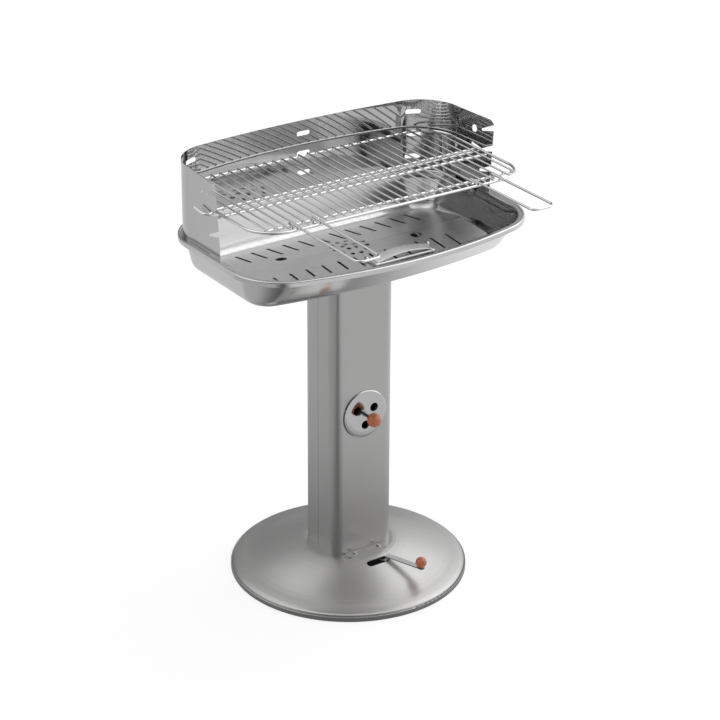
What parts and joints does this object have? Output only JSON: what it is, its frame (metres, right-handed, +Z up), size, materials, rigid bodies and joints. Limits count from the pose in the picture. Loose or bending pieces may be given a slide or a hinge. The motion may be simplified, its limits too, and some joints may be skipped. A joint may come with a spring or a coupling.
{
  "type": "charcoal grill",
  "caption": "Free-standing charcoal grill: round foot, hollow column with rotary air vent, oblong steel bowl, slotted charcoal plate, notched windscreen and lift-off cooking grid with handles.",
  "frame": {"origin": "floor level on the axis of the column and of the round base, at the middle of the flat surface that the grill rests on", "axes": "+X along the bowl's long side to the user's right, -Y towards the user (front), +Z up"},
  "size_m": [0.603, 0.5637, 0.8385],
  "materials": {
    "satin_grey_metal": "satin warm grey metallic",
    "satin_steel": "satin stainless steel",
    "polished_steel": "polished stainless steel",
    "chromed_wire": "chromed wire",
    "zinc_steel": "zinc plated steel",
    "dark_steel": "plain dark steel sheet",
    "wood": "varnished orange-brown beech"
  },
  "bodies": {
    "stand": {"base_plate": "satin_grey_metal", "base_trim_ring": "satin_grey_metal", "ash_pan": "dark_steel", "foot_bracket_front": "satin_grey_metal", "foot_bracket_rear": "satin_grey_metal", "foot_screws": "zinc_steel", "foot_nuts": "zinc_steel", "damper_pivot": "zinc_steel", "column_front_shell": "satin_grey_metal", "column_rear_shell": "satin_grey_metal", "column_collar": "dark_steel", "bowl": "satin_steel", "bowl_bolts": "zinc_steel", "bowl_nuts": "zinc_steel", "windscreen": "polished_steel", "windscreen_screws": "zinc_steel", "windscreen_nuts": "zinc_steel"},
    "damper": {"damper_lever": "zinc_steel", "damper_plate": "dark_steel", "damper_knob": "wood", "damper_knob_screw": "zinc_steel"},
    "vent": {"vent_disc": "polished_steel", "vent_sleeve": "polished_steel", "vent_knob": "wood", "vent_screw": "zinc_steel", "vent_spring_washer": "dark_steel"},
    "coal_plate": {"charcoal_plate": "satin_steel", "plate_handle_lugs": "satin_steel"},
    "coal_handle": {"plate_handle_wire": "chromed_wire", "plate_handle_grip": "polished_steel"},
    "cooking_grid": {"grid_frame": "chromed_wire", "grid_bars": "chromed_wire", "grid_cross_wires": "chromed_wire", "grid_support_wire": "chromed_wire"},
    "grid_handle_l": {"grid_handle_left": "chromed_wire"},
    "grid_handle_r": {"grid_handle_right": "chromed_wire"}
  },
  "joints": [
    {"name": "damper_swing", "type": "hinge", "parent": "stand", "child": "damper", "pos_m": [0, -0.06, 0.046], "axis": [0, 0, 1], "range_deg": [-51, 0]},
    {"name": "vent_turn", "type": "hinge", "parent": "stand", "child": "vent", "pos_m": [0, -0.05235, 0.336], "axis": [0, 1, 0], "continuous": true},
    {"name": "charcoal_plate_lift", "type": "slide", "parent": "stand", "child": "coal_plate", "axis": [0, 0, 1], "range_m": [0, 0.06]},
    {"name": "plate_handle_fold", "type": "hinge", "parent": "coal_plate", "child": "coal_handle", "pos_m": [0.057, -0.06828, 0.65049], "axis": [-1, 0, 0], "range_deg": [0, 95]},
    {"name": "grid_lift", "type": "slide", "parent": "stand", "child": "cooking_grid", "axis": [0, -0.9644, 0.2644], "range_m": [0, 0.1]},
    {"name": "grid_handle_left_fold", "type": "hinge", "parent": "cooking_grid", "child": "grid_handle_l", "pos_m": [-0.1845, -0.1325, 0.78058], "axis": [-1, 0, 0], "range_deg": [0, 100]},
    {"name": "grid_handle_right_fold", "type": "hinge", "parent": "cooking_grid", "child": "grid_handle_r", "pos_m": [0.19373, -0.1325, 0.78058], "axis": [-1, 0, 0], "range_deg": [0, 100]}
  ]
}
